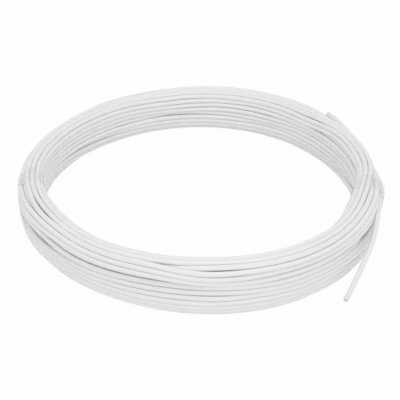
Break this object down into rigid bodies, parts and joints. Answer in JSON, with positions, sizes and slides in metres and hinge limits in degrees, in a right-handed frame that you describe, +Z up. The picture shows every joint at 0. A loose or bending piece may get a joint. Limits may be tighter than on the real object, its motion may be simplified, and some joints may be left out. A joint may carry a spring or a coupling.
{
  "type": "wire coil",
  "caption": "Loose round coil of single-core white insulated wire, taped in two places, with both cut ends free.",
  "frame": {"origin": "on the plane that the coil lies on, under the middle of the ring", "axes": "+Z up along the ring's axis; +X towards the side from which the loose outer end leaves; -Y towards the side that the loose end's tip points to"},
  "size_m": [0.2202, 0.2166, 0.0335],
  "materials": {
    "insulation": "smooth natural white plastic insulation with a soft sheen",
    "conductor": "tinned copper strands, cut square",
    "clear_tape": "clear packing tape"
  },
  "bodies": {
    "root": {"turns_core": "insulation", "outer_turns": "insulation", "loose_end": "insulation", "loose_end_sheath": "insulation", "loose_end_conductor": "conductor", "inner_end_sheath": "insulation", "inner_end_conductor": "conductor", "tape_right": "clear_tape", "tape_left": "clear_tape"}
  },
  "joints": []
}
